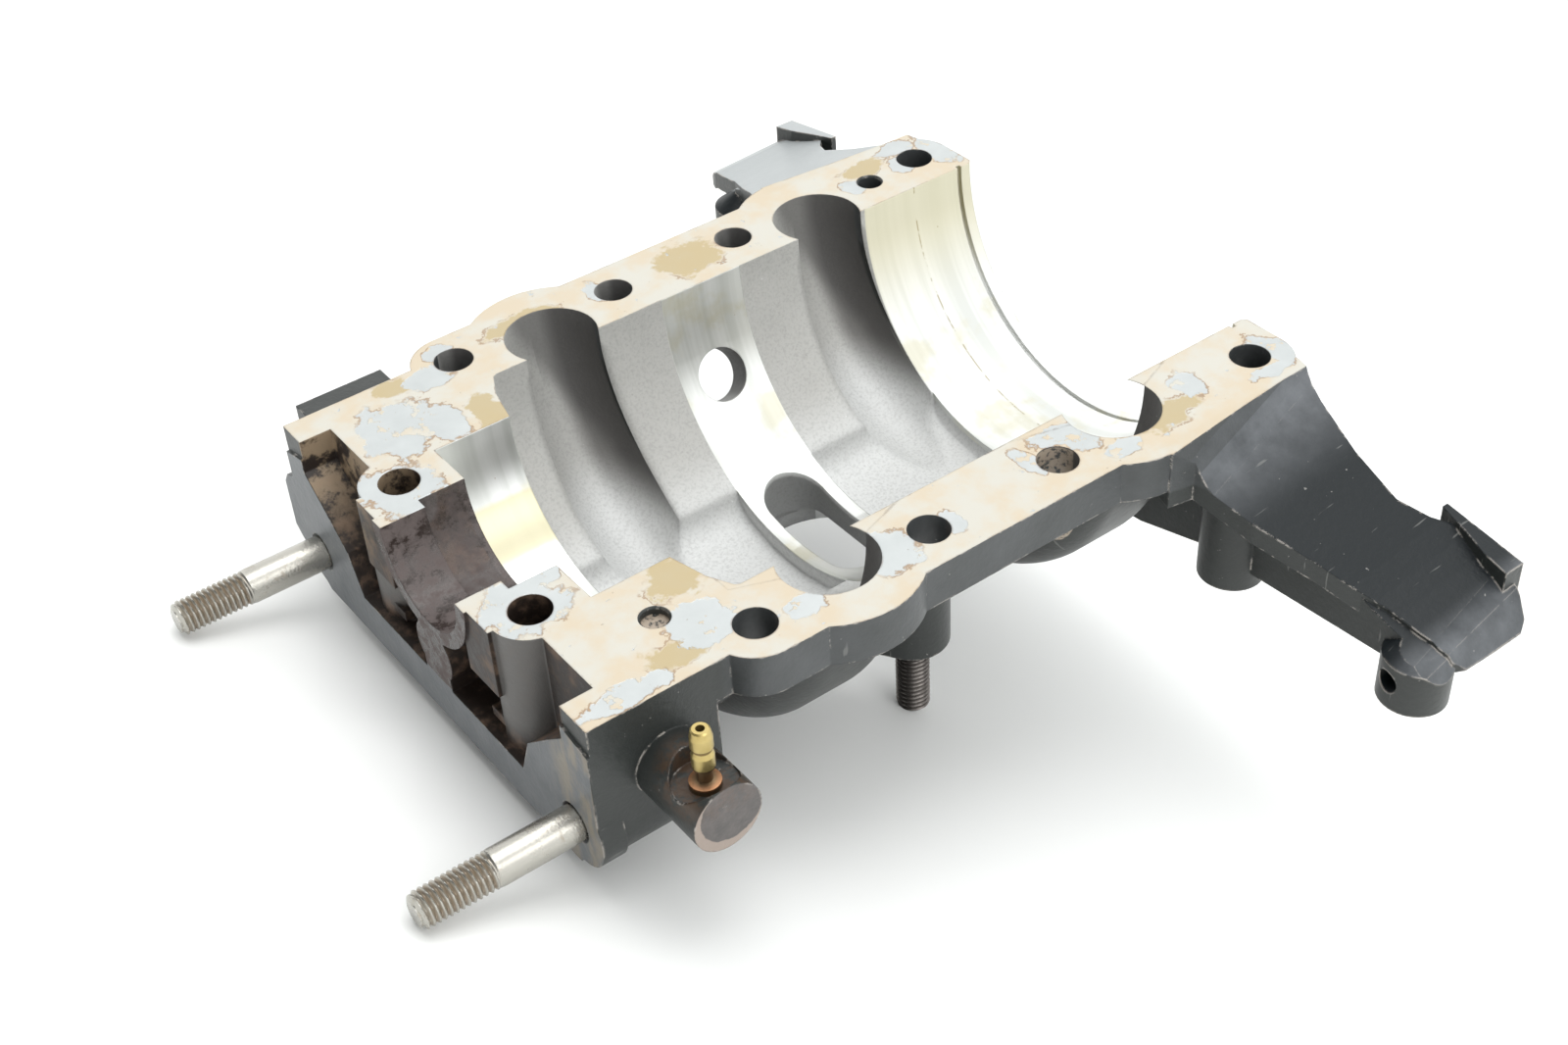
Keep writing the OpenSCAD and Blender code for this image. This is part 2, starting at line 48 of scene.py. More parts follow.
# Camera, measured from the bolt holes of the photograph
FOCAL_PX = 2156.63
IMAGE_W = 1600
CAMERA_PLACE = (-0.223318, -0.305228, 0.268626)
CAMERA_RIGHT = (0.7981, -0.6004, -0.0494)
CAMERA_UP = (0.4130, 0.4855, 0.7704)
CAMERA_BACK = (-0.4386, -0.6354, 0.6355)

# Stations of the casting in millimetres, as the CAD has them
SEAT_R = 46
CENTRE_HALF = 11
UPPER_SEAT_X = 49
LOWER_SEAT_R = 30.5
SEAT_END_X = -61.5
SEAL_END_X = -80
LOWER_END = 101.5
BLOCK_HALF_W = 61
RECESS_X = -93.5
RAIL_T = 10
BLEED = (-84.3, -73.2, -14.5)
END_BOLT = (-91, 26)
BASE_STUD = (52.3, -30.4)
BASE_STUD_TIP = -137
INTAKE_STUD = (0, 30)

# Places on the joint face as (x, y, half length, half width) in millimetres
BARE_PATCHES = (
    (-82, 43, 9.5, 11), (-73, 37, 5, 8), (-67, 55, 7, 4), (-62, 62, 4, 3), (-92, 24, 8, 10),
    (-20.5, 60, 3, 4.5), (53, 56, 3, 4), (73, 64, 6, 3.5), (69, 57, 3.5, 4), (81, 58, 4, 9),
    (-92, -24, 9, 9), (-84, -19, 5, 3), (-68, -50, 8, 6), (-90, -57.5, 11, 3), (-50, -59, 5, 3),
    (-27, -57, 6, 7), (-12, -58, 2.5, 4), (12, -54, 2.5, 5), (23, -51, 7, 3.5), (26, -55, 5, 4),
    (31, -63, 5, 2.5), (56, -55, 3.5, 5), (79, -58, 4, 7), (73, -63.5, 6, 2.5),
)
THICK_PATCHES = (
    (-64, 33, 4, 8), (-64, -36, 6, 5), (-76, 56, 4, 3), (-77, -54, 5, 4), (36, -52, 6, 4),
    (44, -60, 8, 4), (4, 57, 9, 5), (-40, 60, 8, 3), (60, 62, 6, 3),
)

# Colours of the sealant film
FILM_PALE = (0.55, 0.53, 0.47)
FILM_PEACH = (0.56, 0.475, 0.355)
FILM_THICK = (0.43, 0.335, 0.17)

# Threads in millimetres
PITCH = 1.25
THREAD_DEPTH = 0.6


# Direction of the dim side of the room
DIM_SIDE = (-0.94, 0.25, 0.22)


def place_camera():
    """The photograph's camera."""
    data = bpy.data.cameras.new("camera")
    data.sensor_width = 36
    data.lens = FOCAL_PX / IMAGE_W * data.sensor_width
    data.clip_start, data.clip_end = 0.01, 20
    camera = bpy.data.objects.new("camera", data)
    scene.collection.objects.link(camera)
    axes = Matrix((CAMERA_RIGHT, CAMERA_UP, CAMERA_BACK)).transposed()
    camera.matrix_world = Matrix.Translation(CAMERA_PLACE) @ axes.to_4x4()
    scene.camera = camera


class Graph:
    """Builds one material's nodes. Positions are in millimetres in the row frame."""

    def __init__(self, name):
        self.material = bpy.data.materials.new(name)
        self.material.use_nodes = True
        self.tree = self.material.node_tree
        self.tree.nodes.clear()
        self.shader = self.tree.nodes.new("ShaderNodeBsdfPrincipled")
        out = self.tree.nodes.new("ShaderNodeOutputMaterial")
        self.tree.links.new(self.shader.outputs[0], out.inputs[0])
        self.out = out
        coords = self.tree.nodes.new("ShaderNodeTexCoord")
        self.place = self.vector("SCALE", coords.outputs["Object"], scale=1000)
        self.x, self.y, self.z = self.split(self.place)
        geometry = self.tree.nodes.new("ShaderNodeNewGeometry")
        self.nx, self.ny, self.nz = self.split(geometry.outputs["Normal"])

    def put(self, socket, value):
        """Links a socket, or sets a plain value."""
        if isinstance(value, bpy.types.NodeSocket):
            self.tree.links.new(value, socket)
        else:
            socket.default_value = value

    def split(self, vector):
        node = self.tree.nodes.new("ShaderNodeSeparateXYZ")
        self.put(node.inputs[0], vector)
        return node.outputs[0], node.outputs[1], node.outputs[2]

    def join(self, x, y, z):
        node = self.tree.nodes.new("ShaderNodeCombineXYZ")
        for socket, value in zip(node.inputs, (x, y, z)):
            self.put(socket, value)
        return node.outputs[0]

    def math(self, operation, a, b=0.0, clamp=False):
        node = self.tree.nodes.new("ShaderNodeMath")
        node.operation = operation
        node.use_clamp = clamp
        self.put(node.inputs[0], a)
        self.put(node.inputs[1], b)
        return node.outputs[0]

    def add(self, a, b):
        return self.math("ADD", a, b)

    def sub(self, a, b):
        return self.math("SUBTRACT", a, b)

    def mul(self, *values):
        result = values[0]
        for value in values[1:]:
            result = self.math("MULTIPLY", result, value)
        return result

    def either(self, *masks):
        result = masks[0]
        for mask in masks[1:]:
            result = self.math("MAXIMUM", result, mask)
        return result

    def without(self, mask):
        return self.math("SUBTRACT", 1.0, mask, clamp=True)

    def vector(self, operation, a, b=None, scale=None):
        node = self.tree.nodes.new("ShaderNodeVectorMath")
        node.operation = operation
        self.put(node.inputs[0], a)
        if b is not None:
            self.put(node.inputs[1], b)
        if scale is not None:
            self.put(node.inputs["Scale"], scale)
        return node.outputs[0]

    def step(self, value, low, high):
        """0 below low and 1 above high, smooth between them. low may be above high."""
        node = self.tree.nodes.new("ShaderNodeMapRange")
        node.interpolation_type = "SMOOTHSTEP"
        for socket, v in zip(node.inputs[:5], (value, low, high, 0.0, 1.0)):
            self.put(socket, v)
        return node.outputs[0]

    def band(self, value, low, high, soft=0.1):
        """1 between low and high."""
        return self.mul(self.step(value, low - soft, low), self.step(value, high + soft, high))

    def noise(self, size, detail=4.0, rough=0.55, seed=0.0, stretch=(1, 1, 1), vector=None):
        """Noise whose lumps are about size millimetres across, from 0 to 1."""
        node = self.tree.nodes.new("ShaderNodeTexNoise")
        moved = self.vector("ADD", vector or self.place, (17.3 * seed, 9.1 * seed, 5.7 * seed))
        scaled = self.vector("MULTIPLY", moved, tuple(1 / (size * s) for s in stretch))
        self.put(node.inputs["Vector"], scaled)
        node.inputs["Scale"].default_value = 1
        node.inputs["Detail"].default_value = detail
        node.inputs["Roughness"].default_value = rough
        return node.outputs["Fac"]

    def distance(self, u, v):
        """Distance of two coordinates from zero."""
        return self.math("SQRT", self.add(self.mul(u, u), self.mul(v, v)))

    def nearest(self, patches):
        """Least distance to a list of ovals on the joint face: 1 on an oval's outline."""
        least = 10.0
        for x, y, half_x, half_y in patches:
            u = self.mul(self.sub(self.x, x), 1 / half_x)
            v = self.mul(self.sub(self.y, y), 1 / half_y)
            least = self.math("MINIMUM", least, self.distance(u, v))
        return least

    def mix(self, factor, a, b):
        """Colour a where factor is 0 and b where it is 1."""
        node = self.tree.nodes.new("ShaderNodeMix")
        node.data_type = "RGBA"
        self.put(node.inputs[0], factor)
        for socket, value in zip((node.inputs[6], node.inputs[7]), (a, b)):
            self.put(socket, value if isinstance(value, bpy.types.NodeSocket) else (*value, 1))
        return node.outputs[2]

    def level(self, factor, a, b):
        """Number a where factor is 0 and b where it is 1."""
        node = self.tree.nodes.new("ShaderNodeMix")
        self.put(node.inputs[0], factor)
        self.put(node.inputs[2], a)
        self.put(node.inputs[3], b)
        return node.outputs[0]

    def edge(self, radius):
        """1 along sharp edges, from the difference between the true and a rounded normal."""
        bevel = self.tree.nodes.new("ShaderNodeBevel")
        bevel.samples = 4
        bevel.inputs["Radius"].default_value = radius * MM
        geometry = self.tree.nodes.new("ShaderNodeNewGeometry")
        node = self.tree.nodes.new("ShaderNodeVectorMath")
        node.operation = "DOT_PRODUCT"
        self.put(node.inputs[0], bevel.outputs[0])
        self.put(node.inputs[1], geometry.outputs["Normal"])
        return self.step(node.outputs["Value"], 0.995, 0.85)

    def bump(self, height, depth, soften=None):
        """Bumps of depth millimetres, over a normal that rounds edges by soften millimetres."""
        node = self.tree.nodes.new("ShaderNodeBump")
        node.inputs["Strength"].default_value = 1
        node.inputs["Distance"].default_value = depth * MM
        self.put(node.inputs["Height"], height)
        if soften:
            bevel = self.tree.nodes.new("ShaderNodeBevel")
            bevel.samples = 4
            self.put(bevel.inputs["Radius"], self.mul(soften, MM))
            self.put(node.inputs["Normal"], bevel.outputs[0])
        self.put(self.shader.inputs["Normal"], node.outputs[0])

    def finish(self, colour, roughness, metallic):
        self.put(self.shader.inputs["Base Color"], colour)
        self.put(self.shader.inputs["Roughness"], roughness)
        self.put(self.shader.inputs["Metallic"], metallic)
        return self.material


def casting_material():
    """Black paint outside, bare cast chambers, machined seats and an old sealant film."""
    g = Graph("crankcase")
    radius = g.distance(g.y, g.z)
    facing_axis = g.math("DIVIDE", g.add(g.mul(g.ny, g.y), g.mul(g.nz, g.z)), g.add(radius, 0.01))

    # Where each finish is
    joint = g.mul(g.step(g.z, -0.12, -0.04), g.step(g.nz, 0.8, 0.95))
    no_channel = g.step(g.x, UPPER_SEAT_X + 0.1, UPPER_SEAT_X + 0.3)
    inner = g.mul(
        g.step(facing_axis, 0.15, 0.0), g.step(radius, 63.6, 63.2),
        g.without(g.mul(no_channel, g.step(radius, SEAT_R + 1.6, SEAT_R + 1.9))),
        g.band(g.x, SEAT_END_X - 0.4, 83.1), g.without(joint),
    )
    on_seat = g.band(radius, SEAT_R - 0.35, SEAT_R + 0.18)
    centre = g.mul(on_seat, g.band(g.x, -CENTRE_HALF, CENTRE_HALF, 0.15))
    upper = g.mul(g.band(radius, SEAT_R - 0.35, SEAT_R + 1.4), g.step(g.x, UPPER_SEAT_X - 0.4, UPPER_SEAT_X))
    lower = g.mul(
        g.band(radius, LOWER_SEAT_R - 0.2, LOWER_SEAT_R + 0.2),
        g.band(g.x, SEAL_END_X, SEAT_END_X, 0.15), g.step(facing_axis, 0.1, -0.1),
    )
    seat = g.mul(g.either(g.mul(g.either(centre, upper), inner), lower), g.without(joint))
    seal = g.mul(
        g.step(radius, LOWER_SEAT_R + 0.3, LOWER_SEAT_R), g.step(g.x, SEAL_END_X + 0.3, SEAL_END_X),
        g.without(joint),
    )
    recess = g.mul(
        g.band(g.x, -LOWER_END + 0.15, RECESS_X + 12), g.step(radius, 17.5, 18.7),
        g.step(g.z, -32.2, -31.8), g.band(g.y, -52.5, 52.5), g.without(joint),
    )
    bare = g.either(joint, inner, seat)

    # Joint face: bare aluminium where a ragged film of sealant has come away
    ragged = g.mul(g.sub(g.noise(7, 5, 0.6, 1), 0.5), 1.7)
    ragged = g.add(ragged, g.mul(g.sub(g.noise(1.8, 4, 0.6, 2), 0.5), 0.5))
    gap = g.add(g.nearest(BARE_PATCHES), ragged)
    film = g.either(g.step(gap, 0.9, 1.0), g.step(g.noise(5, 5, 0.6, 34), 0.60, 0.62))
    film = g.mul(film, g.step(g.noise(3.5, 4, 0.6, 35), 0.70, 0.67))
    thick_gap = g.add(g.nearest(THICK_PATCHES), g.mul(ragged, 1.5))
    thick = g.step(thick_gap, 1.25, 0.95)
    film_tone = g.step(g.noise(11, 5, 0.6, 3), 0.36, 0.64)
    film_colour = g.mix(film_tone, FILM_PALE, FILM_PEACH)
    film_colour = g.mix(g.mul(thick, 0.85), film_colour, FILM_THICK)
    rim = g.mul(g.band(gap, 0.94, 1.02, 0.05), g.step(g.noise(9, 3, 0.5, 36), 0.42, 0.55), 0.75)
    thick_rim = g.mul(g.band(thick_gap, 1.22, 1.28, 0.06), g.step(g.noise(8, 3, 0.5, 51), 0.48, 0.60), 0.7)
    film_colour = g.mix(g.either(rim, thick_rim), film_colour, (0.27, 0.16, 0.08))
    metal_tone = g.noise(9, 5, 0.6, 4)
    metal_colour = g.mix(metal_tone, (0.42, 0.44, 0.44), (0.56, 0.58, 0.58))
    joint_colour = g.mix(film, metal_colour, film_colour)
    specks = g.step(g.noise(1.6, 2, 0.5, 5), 0.74, 0.8)
    joint_colour = g.mix(g.mul(specks, 0.5), joint_colour, (0.20, 0.14, 0.09))
    edges = g.edge(0.7)
    rust = g.mul(edges, g.step(g.noise(6, 5, 0.65, 48), 0.47, 0.60), 0.8)
    joint_colour = g.mix(rust, joint_colour, (0.16, 0.085, 0.05))

    # Chambers: satin casting, with painted shade on the walls and channels that face away from the light, and a
    # painted highlight low down
    cast_tone = g.noise(30, 5, 0.6, 6)
    cast_colour = g.mix(cast_tone, (0.36, 0.355, 0.34), (0.52, 0.515, 0.495))
    # Painted highlight: the chamber floor low down is lightened where the light catches it
    highlight_low_down = g.step(g.z, -32, -45)
    cast_colour = g.mix(g.mul(highlight_low_down, 0.65), cast_colour, (0.68, 0.69, 0.69))
    # Painted shade on the walls that face away from the light
    shaded = g.mul(g.step(g.nx, -0.15, -0.6), g.without(highlight_low_down))
    cast_colour = g.mix(g.mul(shaded, 0.66), cast_colour, (0.08, 0.074, 0.072))
    # Painted shade: the channels are shaded most at the joint face, and lower down only on their upper side
    in_channel = g.step(radius, 50.5, 54)
    turned_away = g.step(g.add(g.nx, g.mul(g.z, -0.04)), 0.75, 0.25)
    channel_shade = g.mul(g.either(g.mul(in_channel, turned_away), g.step(g.nx, -0.62, -0.93)), g.without(highlight_low_down))
    cast_colour = g.mix(g.mul(channel_shade, 0.5), cast_colour, (0.030, 0.027, 0.028))
    pores = g.step(g.noise(0.9, 2, 0.5, 43), 0.70, 0.78)
    cast_colour = g.mix(g.mul(pores, 0.22), cast_colour, (0.10, 0.095, 0.09))
    # Painted shade in the passage beyond the centre seat
    slot_shade = g.mul(g.band(g.x, -8.5, 8.5), g.step(radius, SEAT_R + 0.5, SEAT_R + 1.5))
    cast_colour = g.mix(g.mul(slot_shade, 0.55), cast_colour, (0.07, 0.07, 0.07))
    grain = g.noise(0.7, 3, 0.65, 7)
    cast_colour = g.mix(g.mul(g.step(grain, 0.42, 0.70), 0.22), cast_colour, (0.15, 0.145, 0.14))
    # Painted glints: small specks of painted highlight on the cast surface
    glints = g.step(g.noise(1.0, 1, 0.5, 52), 0.79, 0.83)
    cast_colour = g.mix(g.mul(glints, 0.6), cast_colour, (0.80, 0.80, 0.79))

    # Seats: turned metal with pale yellow stains
    turned = g.noise(1.0, 4, 0.7, 8, stretch=(0.35, 40, 40))
    stain = g.mul(g.step(g.noise(15, 4, 0.55, 9), 0.52, 0.66), 0.5)
    stain = g.either(stain, g.mul(g.step(g.z, -34, -8), g.step(g.x, 30, 50), 0.75))
    stain = g.either(stain, g.mul(lower, g.band(g.z, -25, -17, 1.5), g.step(g.y, 5, 9), 0.9))
    stripes = g.noise(1.0, 3, 0.6, 53, stretch=(5, 300, 300))
    seat_colour = g.mix(g.step(stripes, 0.35, 0.65), (0.60, 0.61, 0.585), (0.74, 0.745, 0.73))
    seat_colour = g.mix(stain, seat_colour, (0.55, 0.51, 0.35))
    line = g.mul(g.band(g.x, 64.2, 64.5, 0.12), g.step(g.noise(5, 4, 0.7, 54), 0.44, 0.56), 0.65)
    dots = g.mul(g.step(g.noise(1.5, 1, 0.5, 55), 0.80, 0.83), g.step(g.z, -40, -30), 0.7)
    seat_colour = g.mix(g.either(line, dots), seat_colour, (0.28, 0.22, 0.10))

    # Seal bore: mottled oil and rust over cast metal
    mottle = g.noise(4.5, 6, 0.7, 10)
    seal_colour = g.mix(g.step(mottle, 0.4, 0.62), (0.035, 0.025, 0.022), (0.13, 0.105, 0.10))

    # Recess: dark oil with red-brown edges
    sludge = g.noise(6, 6, 0.7, 11)
    recess_colour = g.mix(g.step(sludge, 0.45, 0.7), (0.022, 0.015, 0.012), (0.15, 0.095, 0.065))
    tan = g.mul(g.step(g.y, 18, 34), g.step(sludge, 0.42, 0.55), g.step(g.z, -22, -6))
    recess_colour = g.mix(tan, recess_colour, (0.27, 0.20, 0.13))
    from_column = g.distance(g.sub(g.x, END_BOLT[0]), g.sub(g.math("ABSOLUTE", g.y), END_BOLT[1]))
    column = g.mul(g.step(from_column, 9.3, 8.9), g.step(from_column, 4.6, 4.9))
    column = g.mul(column, g.step(g.z, -31, -22))
    recess_colour = g.mix(g.mul(column, 0.9), recess_colour, (0.14, 0.135, 0.13))

    # Paint: black, worn pale along the edges and brown low on the end flange
    wear_break = g.noise(3.5, 5, 0.7, 12)
    tip = g.step(g.math("ABSOLUTE", g.y), 116, 122)
    chips = g.mul(edges, g.step(g.add(wear_break, g.mul(tip, 0.1)), 0.50, 0.60))
    end_face = g.mul(g.step(g.nx, -0.8, -0.95), g.step(g.x, -LOWER_END + 0.6, -LOWER_END + 0.2))
    paint = g.mix(g.noise(18, 4, 0.6, 13), (0.016, 0.0185, 0.0175), (0.032, 0.0355, 0.0335))
    worn = g.mix(g.noise(7, 5, 0.65, 14), (0.09, 0.10, 0.11), (0.21, 0.22, 0.235))
    brown_corner = g.mul(g.step(g.y, -44, -52), g.step(g.noise(4, 5, 0.6, 44, stretch=(1, 1, 3)), 0.4, 0.6))
    worn = g.mix(brown_corner, worn, (0.27, 0.235, 0.185))
    paint = g.mix(g.mul(end_face, 0.8), paint, worn)
    rail_side = g.mul(g.step(g.z, -RAIL_T - 0.5, -RAIL_T + 0.5), g.step(g.x, -72, -68), g.step(g.nz, 0.5, 0.2))
    paint = g.mix(g.mul(rail_side, g.noise(12, 4, 0.6, 37)), paint, (0.085, 0.09, 0.095))
    side = g.math("ABSOLUTE", g.y)
    arm_top = g.mul(g.step(g.x, 34, 37), g.step(side, 66.5, 68), g.step(g.nz, 0.3, 0.6))
    paint = g.mix(arm_top, paint, (0.009, 0.012, 0.014))
    dusty = g.mul(arm_top, g.either(g.step(side, 88, 70), g.step(side, 120, 127)), g.noise(9, 4, 0.6, 38))
    paint = g.mix(dusty, paint, (0.19, 0.20, 0.215))
    flecks = g.step(g.noise(1.2, 2, 0.5, 45), 0.745, 0.78)
    paint = g.mix(g.mul(flecks, 0.5), paint, (0.38, 0.37, 0.35))
    scratches = g.step(g.noise(1.1, 2, 0.5, 46, stretch=(9, 1, 9)), 0.71, 0.76)
    paint = g.mix(g.mul(scratches, 0.3), paint, (0.30, 0.30, 0.285))
    # Painted reflection: the far arm's plate is painted pale for the sheen it takes at a grazing angle, and the
    # boss below it isn't
    on_plate = g.step(g.add(g.z, g.mul(g.sub(side, 66), 0.456)), -6, -5)
    paint = g.mix(g.mul(arm_top, on_plate, g.step(g.y, 60, 66)), paint, (0.40, 0.42, 0.425))
    # Oily brown round the nipple's spot face, and on the boss's end
    from_nipple = g.distance(g.sub(g.x, BLEED[0]), g.sub(g.y, BLEED[1]))
    oily = g.mul(g.step(from_nipple, 12, 6), g.step(g.z, BLEED[2] - 3, BLEED[2]), g.step(g.y, -60, -62))
    oily = g.mul(oily, g.step(g.noise(3, 5, 0.7, 39), 0.38, 0.55))
    paint = g.mix(oily, paint, (0.06, 0.035, 0.02))
    boss_end = g.mul(g.step(g.ny, -0.9, -0.98), g.step(g.y, -78, -79), g.step(g.x, -70, -74))
    paint = g.mix(g.mul(boss_end, g.noise(3, 5, 0.7, 49)), paint, (0.15, 0.13, 0.125))
    crescent = g.distance(g.add(g.x, 83.3), g.add(g.z, 16.4))
    chipped = g.mul(boss_end, g.step(g.add(crescent, g.noise(2, 3, 0.6, 42)), 7.4, 7.7))
    paint = g.mix(chipped, paint, (0.29, 0.235, 0.20))
    paint = g.mix(chips, paint, (0.52, 0.48, 0.44))

    # Walls of two holes that show light dirt
    for x, y, reach, top in ((17.2, -57, 4.9, -0.15), (-73.8, -43.3, 3.2, -1.6)):
        hole = g.step(g.distance(g.sub(g.x, x), g.sub(g.y, y)), reach + 0.1, reach)
        hole = g.mul(hole, g.step(g.z, top, top - 0.2), g.step(g.noise(1.6, 4, 0.7, 50), 0.38, 0.52))
        paint = g.mix(hole, paint, (0.40, 0.33, 0.26))

    colour = g.mix(inner, paint, cast_colour)
    colour = g.mix(seat, colour, seat_colour)
    colour = g.mix(seal, colour, seal_colour)
    colour = g.mix(recess, colour, recess_colour)
    colour = g.mix(joint, colour, joint_colour)

    rough = g.level(g.noise(8, 4, 0.6, 15), 0.32, 0.5)
    rough = g.level(inner, rough, g.level(cast_tone, 0.54, 0.70))
    rough = g.level(seat, rough, g.level(turned, 0.26, 0.36))
    rough = g.level(seal, rough, g.step(mottle, 0.38, 0.66))
    rough = g.level(recess, rough, g.level(sludge, 0.2, 0.75))
    rough = g.level(joint, rough, g.level(film, 0.38, 0.48))

    metallic = g.level(g.either(chips, inner), 0.0, 0.45)
    metallic = g.level(seat, metallic, 0.95)
    metallic = g.level(g.either(seal, recess), metallic, 0.2)
    metallic = g.level(joint, metallic, g.level(film, 0.75, 0.0))

    skin = g.noise(1.4, 4, 0.6, 16)
    height = g.level(bare, g.mul(skin, 0.5), g.mul(grain, 0.4))
    height = g.level(seat, height, g.mul(turned, 0.035))
    height = g.level(g.either(seal, recess), height, mottle)
    height = g.level(joint, height, g.mul(film, 0.35))
    # Edges inside the chambers are cast soft, and the machined ones are sharp
    chamber = g.mul(inner, g.without(seat), g.step(g.z, -3, -7))
    g.bump(height, 0.22, g.level(chamber, 0.5, 3.6))
    g.put(g.shader.inputs["Specular IOR Level"], g.level(arm_top, 0.5, 0.27))
    return g.finish(colour, rough, metallic)


def steel_material(name, clean, dirty, along_x, centre):
    """Worn steel with dirt in the thread's roots. The axis is along X or Z, at centre."""
    g = Graph(name)
    if along_x:
        from_axis = g.distance(g.sub(g.math("ABSOLUTE", g.y), centre[0]), g.sub(g.z, centre[1]))
        threaded = g.step(g.x, -LOWER_END - 17, -LOWER_END - 20)
    else:
        from_axis = g.distance(g.sub(g.x, centre[0]), g.sub(g.math("ABSOLUTE", g.y), centre[1]))
        threaded = 1.0
    rough = 0.26
    dirt = g.mul(g.step(g.noise(3, 5, 0.65, 20), 0.55, 0.72), 0.5)
    rubbed = g.step(g.x, BASE_STUD_TIP + 2.2, BASE_STUD_TIP + 1.2)
    root = g.mul(g.step(from_axis, 3.88, 3.45), threaded, g.without(rubbed))
    dirt = g.either(dirt, g.mul(root, g.level(g.noise(4, 3, 0.5, 22), 0.6, 1.0)))
    colour = g.mix(dirt, clean, dirty)
    g.bump(g.noise(0.5, 3, 0.6, 21), 0.05)
    return g.finish(colour, g.level(dirt, rough, rough + 0.25), 0.9)


def brass_material():
    """Worn brass, brown with oil near the seat."""
    g = Graph("brass")
    up = g.sub(g.z, BLEED[2])
    low = g.step(up, 5.6, 4.9)
    tone = g.noise(2, 4, 0.6, 30)
    colour = g.mix(tone, (0.42, 0.31, 0.10), (0.58, 0.47, 0.21))
    colour = g.mix(g.mul(low, 0.85), colour, (0.13, 0.08, 0.055))
    # Painted shade: dark rings in the grooves between the barbs
    groove_shade = g.either(g.band(up, 9.4, 10.1, 0.25), g.band(up, 4.7, 5.3, 0.2))
    colour = g.mix(g.mul(groove_shade, 0.8), colour, (0.10, 0.06, 0.03))
    ring = g.mul(g.step(up, 1.8, 1.4), g.step(up, 0.9, 1.2))
    colour = g.mix(g.mul(ring, 0.8), colour, (0.45, 0.22, 0.11))
    g.bump(g.noise(0.4, 3, 0.6, 31), 0.04)
    return g.finish(colour, g.level(low, 0.3, 0.4), 0.85)


def stud(name, node, start, direction, length, plain, material):
    """A round stud with a helical thread from plain to its tip. All sizes are in millimetres."""
    radius, turns = 4.0, 72
    inside = 15
    rows = [(-inside, radius - 0.3), (-0.001, radius - 0.3), (0.0, radius - 0.02)]
    if plain > 0:
        rows += [(plain - 0.6, radius - 0.02), (plain, radius - 0.15)]
    per_pitch = 8
    count = int((length - 0.1 - plain) / PITCH * per_pitch)
    rows += [(plain + 0.15 + i * PITCH / per_pitch, None) for i in range(count)]
    verts, faces = [], []
    for along, fixed in rows:
        for k in range(turns):
            angle = 2 * math.pi * k / turns
            r = fixed
            if r is None:
                phase = (along / PITCH - k / turns) % 1
                ridge = min(1, max(0, 2.3 * (0.5 - abs(phase - 0.5)) - 0.1))
                fade = min(1, (along - plain) / 1.0)
                tip = max(0, along - (length - 1.1))
                r = radius - 0.05 - THREAD_DEPTH * (1 - ridge) * fade - 0.9 * tip
            verts.append((r * math.cos(angle), r * math.sin(angle), along))
    for row in range(len(rows) - 1):
        for k in range(turns):
            a, b = row * turns + k, row * turns + (k + 1) % turns
            faces.append((a, b, b + turns, a + turns))
    faces.append(tuple(reversed(range(turns))))
    faces.append(tuple(range((len(rows) - 1) * turns, len(rows) * turns)))
    mesh = bpy.data.meshes.new(name)
    mesh.from_pydata([Vector(v) * MM for v in verts], [], faces)
    turn = Vector(direction).to_track_quat("Z", "Y").to_matrix().to_4x4()
    mesh.transform(Matrix.Translation(Vector(start) * MM) @ turn)
    mesh.materials.append(material)
    mesh.polygons.foreach_set("use_smooth", [True] * len(mesh.polygons))
    mesh.set_sharp_from_angle(angle=math.radians(40))
    piece = bpy.data.objects.new(name, mesh)
    scene.collection.objects.link(piece)
    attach(piece, "root")
    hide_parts(node)


def add_studs():
    """Threaded studs in place of the plain CAD ones."""
    bright = steel_material("stud_steel", (0.45, 0.435, 0.395), (0.30, 0.235, 0.17), True, BASE_STUD)
    dark = steel_material("dark_steel", (0.17, 0.155, 0.145), (0.03, 0.025, 0.022), False, INTAKE_STUD)
    flange_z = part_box("crankcase_casting")[0].z / MM
    for side in ("near", "far"):
        low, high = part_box("base_stud_" + side)
        y, z = (low.y + high.y) / 2 / MM, (low.z + high.z) / 2 / MM
        out = -low.x / MM - LOWER_END
        stud("stud_" + side, "base_stud_" + side, (-LOWER_END, y, z), (-1, 0, 0), out, out - 17, bright)
        low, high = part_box("intake_stud_" + side)
        x, y = (low.x + high.x) / 2 / MM, (low.y + high.y) / 2 / MM
        out = flange_z - low.z / MM
        stud("carb_stud_" + side, "intake_stud_" + side, (x, y, flange_z), (0, 0, -1), out, 0, dark)


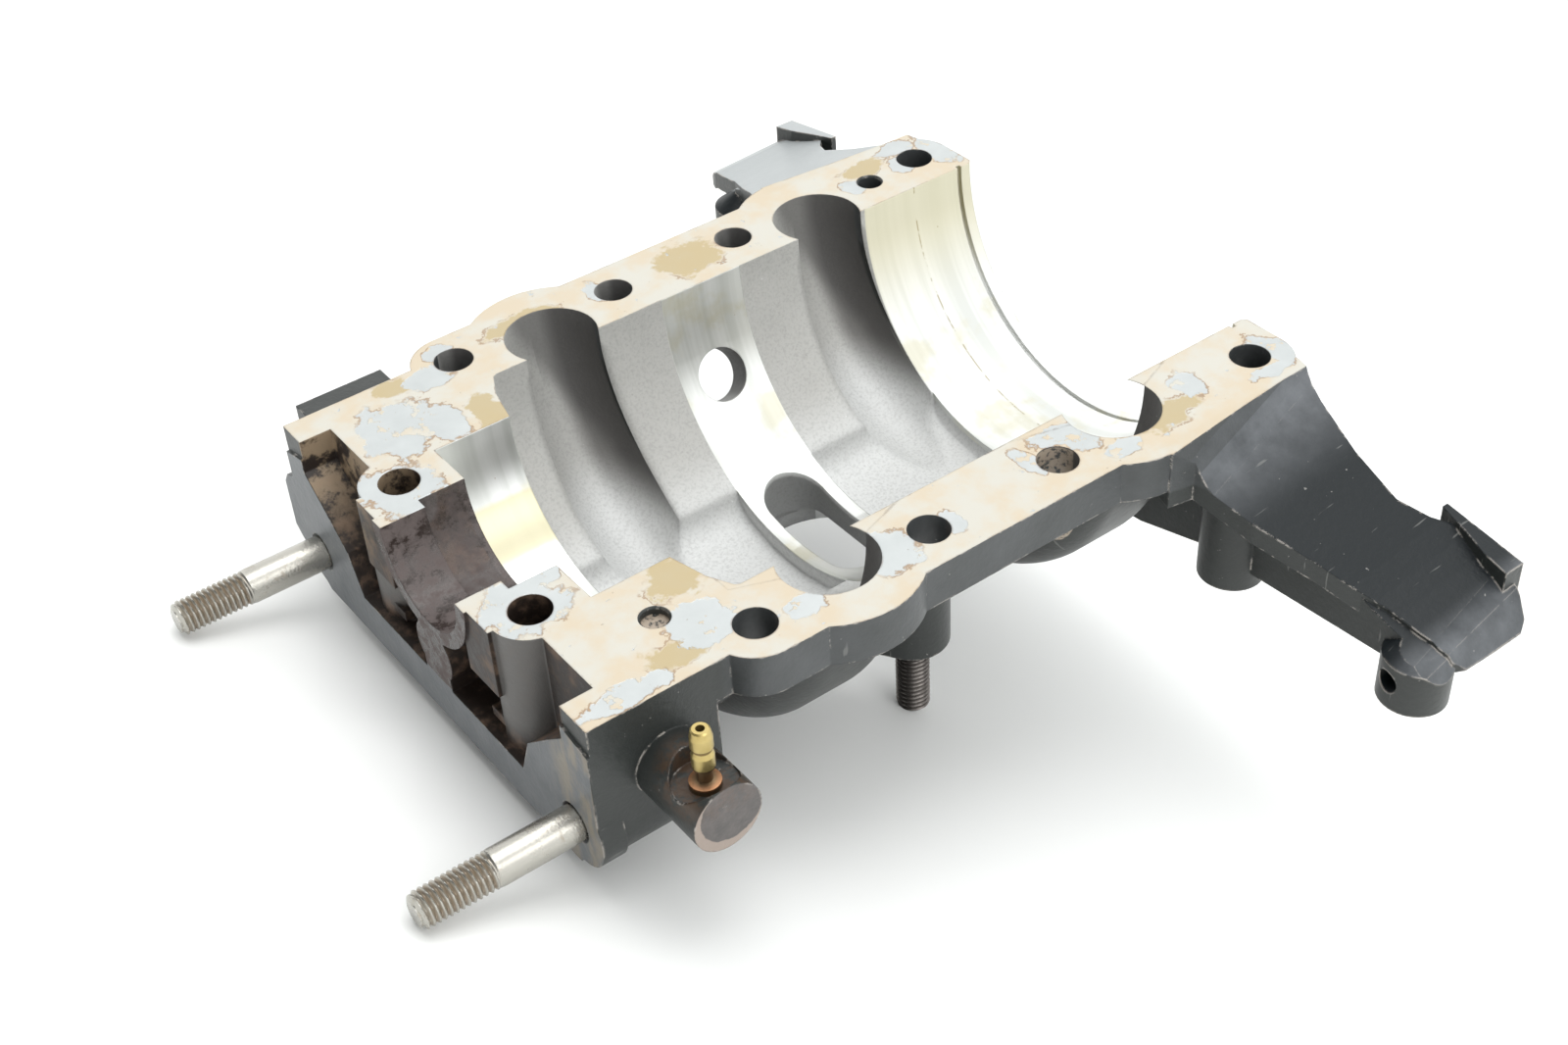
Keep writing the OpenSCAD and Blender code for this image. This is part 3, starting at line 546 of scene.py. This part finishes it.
def add_floor():
    """A pale floor that touches the tips of the four studs."""
    low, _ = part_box("base_stud_near")
    tip = Vector((low.x, 0, low.z))
    low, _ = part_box("intake_stud_near")
    heel = Vector((0, 0, low.z))
    along = (heel - tip).normalized()
    up = Vector((0, -1, 0)).cross(along).normalized()
    if up.z < 0:
        up = -up
    mesh = bpy.data.meshes.new("floor")
    half = 3.0
    across = up.cross(along)
    base = heel - up * 0.0002
    corners = [base + along * (a * half) + across * (b * half) for a, b in ((-1, -1), (1, -1), (1, 1), (-1, 1))]
    mesh.from_pydata(corners, [], [(0, 1, 2, 3)])
    floor = bpy.data.objects.new("floor", mesh)
    scene.collection.objects.link(floor)
    g = Graph("floor")
    tone = g.mix(g.noise(180, 3, 0.5, 40), (0.86, 0.87, 0.86), (0.90, 0.90, 0.89))
    grit = g.step(g.noise(3.2, 1, 0.5, 41), 0.84, 0.86)
    mesh.materials.append(g.finish(g.mix(g.mul(grit, 0.3), tone, (0.5, 0.5, 0.48)), 0.55, 0.0))
    return up


def add_light(up):
    """A white room and a large soft light above the floor."""
    world = bpy.data.worlds.new("studio")
    scene.world = world
    world.use_nodes = True
    # The room is bright above and to the right, and dim towards the lower end
    tree = world.node_tree
    background = tree.nodes["Background"]
    coords = tree.nodes.new("ShaderNodeTexCoord")
    towards = tree.nodes.new("ShaderNodeVectorMath")
    towards.operation = "DOT_PRODUCT"
    tree.links.new(coords.outputs["Generated"], towards.inputs[0])
    towards.inputs[1].default_value = DIM_SIDE
    ramp = tree.nodes.new("ShaderNodeMapRange")
    ramp.interpolation_type = "SMOOTHSTEP"
    tree.links.new(towards.outputs["Value"], ramp.inputs[0])
    for socket, value in zip(ramp.inputs[1:5], (0.15, 0.85, 1.55, 0.16)):
        socket.default_value = value
    background.inputs[0].default_value = (0.96, 0.975, 0.97, 1)
    tree.links.new(ramp.outputs[0], background.inputs[1])
    for place, power, size in (((0.05, 0.25, 1.1), 5.0, 0.9), ((-0.9, 0.1, 0.7), 1.5, 0.6)):
        data = bpy.data.lights.new("softbox", "AREA")
        data.shape = "DISK"
        data.size = size
        data.energy = power
        lamp = bpy.data.objects.new("softbox", data)
        scene.collection.objects.link(lamp)
        spot = up.to_track_quat("Z", "Y") @ Vector(place)
        lamp.location = spot
        lamp.rotation_mode = "QUATERNION"
        lamp.rotation_quaternion = spot.to_track_quat("Z", "Y")


place_camera()
add_light(add_floor())
scene.view_settings.view_transform = "Standard"
for node, material in (("crankcase_casting", casting_material()), ("bleed_nipple", brass_material())):
    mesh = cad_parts[node].data
    mesh.materials.clear()
    mesh.materials.append(material)
add_studs()
